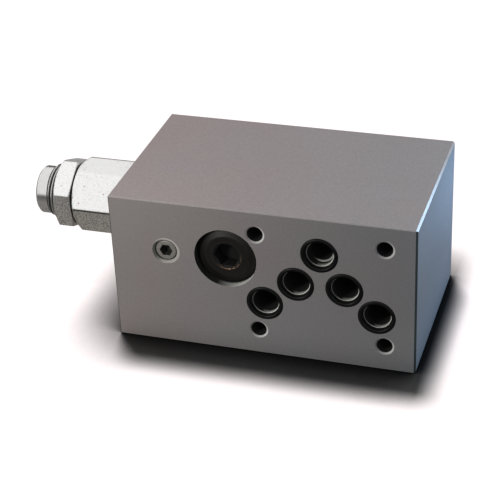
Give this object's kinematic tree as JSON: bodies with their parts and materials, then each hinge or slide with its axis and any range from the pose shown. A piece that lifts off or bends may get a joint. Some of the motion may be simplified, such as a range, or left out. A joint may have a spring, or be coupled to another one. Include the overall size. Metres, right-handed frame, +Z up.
{
  "type": "hydraulic sandwich valve",
  "caption": "Drilled steel sandwich plate with through ports and bolt holes, carrying an adjustable screw-in relief cartridge with a locknut on its left end.",
  "frame": {"origin": "centre of the four-bolt pattern, on the sealed port face", "axes": "+X along the block away from the cartridge, +Y from the sealed port face to the plain valve face, +Z up with the block lying on its long side as pictured"},
  "size_m": [0.1787, 0.0804, 0.0681],
  "materials": {
    "phosphated_steel": "matte grey phosphate, fine grain",
    "black_oxide_steel": "black oxide, lightly oiled",
    "bright_steel": "bright turned",
    "zinc_plated_steel": "clear zinc plate",
    "machined_steel": "machined",
    "hardened_steel": "ground",
    "spring_steel": "oil tempered",
    "seal_rubber": "matte nitrile",
    "backup_plastic": "white filled plastic"
  },
  "bodies": {
    "valve": {"valve_block": "phosphated_steel", "gallery_plug": "black_oxide_steel", "gallery_plug_seal": "seal_rubber", "gauge_plug": "bright_steel", "cartridge_body": "zinc_plated_steel", "cartridge_sleeve": "machined_steel", "poppet_seat": "hardened_steel", "relief_spring": "spring_steel", "mouth_seal": "seal_rubber", "sleeve_seal": "seal_rubber", "sleeve_backup_rings": "backup_plastic", "nose_seal": "seal_rubber", "nose_backup_rings": "backup_plastic", "p_port_seal": "seal_rubber", "a_port_seal": "seal_rubber", "b_port_seal": "seal_rubber", "t_port_seal": "seal_rubber", "tb_port_seal": "seal_rubber"},
    "spring_seat": {"spring_seat": "machined_steel"},
    "spindle": {"adjusting_spindle": "zinc_plated_steel", "spindle_seal": "seal_rubber"},
    "locknut_seal": {"locknut_seal": "seal_rubber"},
    "locknut": {"locknut": "zinc_plated_steel"},
    "poppet": {"relief_poppet": "hardened_steel"}
  },
  "joints": [
    {"name": "adjuster_advance", "type": "slide", "parent": "valve", "child": "spring_seat", "axis": [1, 0, 0], "range_m": [-0.00375, 0.00375], "deforming": ["relief_spring"]},
    {"name": "adjuster_turn", "type": "hinge", "parent": "spring_seat", "child": "spindle", "pos_m": [-0.12, 0.04, 0.00985], "axis": [1, 0, 0], "range_deg": [-900, 900]},
    {"name": "locknut_travel", "type": "slide", "parent": "valve", "child": "locknut_seal", "axis": [1, 0, 0], "range_m": [-0.003, 0]},
    {"name": "locknut_turn", "type": "hinge", "parent": "locknut_seal", "child": "locknut", "pos_m": [-0.125, 0.04, 0.00985], "axis": [1, 0, 0], "range_deg": [-720, 0]},
    {"name": "poppet_lift", "type": "slide", "parent": "valve", "child": "poppet", "axis": [-1, 0, 0], "range_m": [0, 0.002], "stiffness_N_per_m": 3000, "springref_m": -0.003, "deforming": ["relief_spring"]}
  ],
  "couplings": [
    {"joint": "adjuster_turn", "follows": "adjuster_advance", "rad_per_m": 4188.8},
    {"joint": "locknut_turn", "follows": "locknut_travel", "rad_per_m": 4188.8}
  ]
}
